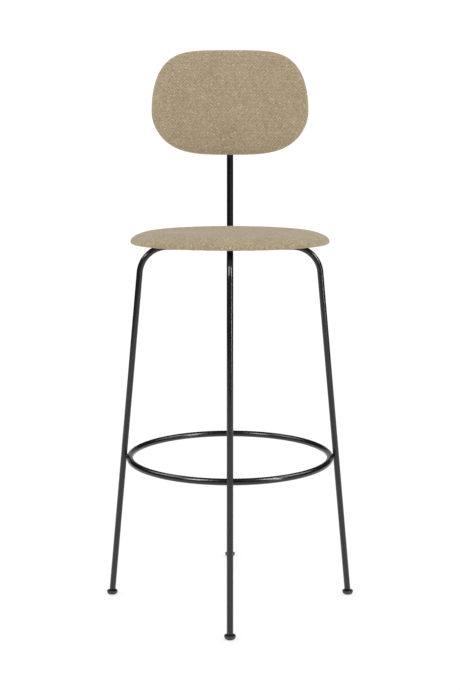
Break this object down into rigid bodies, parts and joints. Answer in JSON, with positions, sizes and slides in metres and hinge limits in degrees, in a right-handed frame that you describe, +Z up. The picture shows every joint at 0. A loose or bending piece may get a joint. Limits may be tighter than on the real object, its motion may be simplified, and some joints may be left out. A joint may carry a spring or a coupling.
{
  "type": "bar stool with footrest",
  "caption": "Bar stool with a round padded seat, a padded backrest on a rear spine, slim leaning tube legs and a ring footrest.",
  "frame": {"origin": "on the floor, under the centre of the seat and of the footrest ring", "axes": "+Z up; the sitter faces -Y; +X is to the right for a viewer who looks at the front of the stool"},
  "size_m": [0.5078, 0.5078, 1.1133],
  "materials": {
    "powder_coat": "satin black powder coat on steel",
    "seat_fabric": "sand-coloured woven upholstery",
    "back_fabric": "sand-coloured woven upholstery",
    "dust_cloth": "black non-woven cloth",
    "foam": "upholstery foam",
    "plywood": "birch plywood",
    "zinc_steel": "zinc-plated steel",
    "black_screw": "black oxide steel",
    "glide_nylon": "moulded black nylon",
    "cap_plastic": "moulded black plastic"
  },
  "bodies": {
    "frame": {"side_leg_tube": "powder_coat", "front_leg_tube": "powder_coat", "rear_leg_tube": "powder_coat", "spine_tube": "powder_coat", "spine_cap": "cap_plastic", "footrest_ring": "powder_coat", "frame_welds": "powder_coat", "ring_welds": "powder_coat", "seat_mount_plate": "powder_coat", "seat_bolts": "black_screw", "seat_tee_nuts": "zinc_steel", "seat_board": "plywood", "seat_foam": "foam", "seat_cover": "seat_fabric", "seat_underside_cloth": "dust_cloth", "seat_staples": "zinc_steel", "back_bracket": "powder_coat", "back_screws": "black_screw", "back_tee_nuts": "zinc_steel", "back_board": "plywood", "back_foam": "foam", "back_cover": "back_fabric", "back_rear_panel": "back_fabric", "foot_inserts": "zinc_steel", "ball_studs": "zinc_steel"},
    "glide_right": {"glide_right": "glide_nylon"},
    "glide_rear": {"glide_rear": "glide_nylon"},
    "glide_left": {"glide_left": "glide_nylon"},
    "glide_front": {"glide_front": "glide_nylon"}
  },
  "joints": [
    {"name": "glide_right_tilt", "type": "hinge", "parent": "frame", "child": "glide_right", "pos_m": [0.24286, 0, 0.005], "axis": [0, 1, 0], "range_deg": [-15, 4]},
    {"name": "glide_rear_tilt", "type": "hinge", "parent": "frame", "child": "glide_rear", "pos_m": [0, 0.24286, 0.005], "axis": [-1, 0, 0], "range_deg": [-15, 4]},
    {"name": "glide_left_tilt", "type": "hinge", "parent": "frame", "child": "glide_left", "pos_m": [-0.24286, 0, 0.005], "axis": [0, -1, 0], "range_deg": [-15, 4]},
    {"name": "glide_front_tilt", "type": "hinge", "parent": "frame", "child": "glide_front", "pos_m": [0, -0.24286, 0.005], "axis": [1, 0, 0], "range_deg": [-15, 4]}
  ]
}
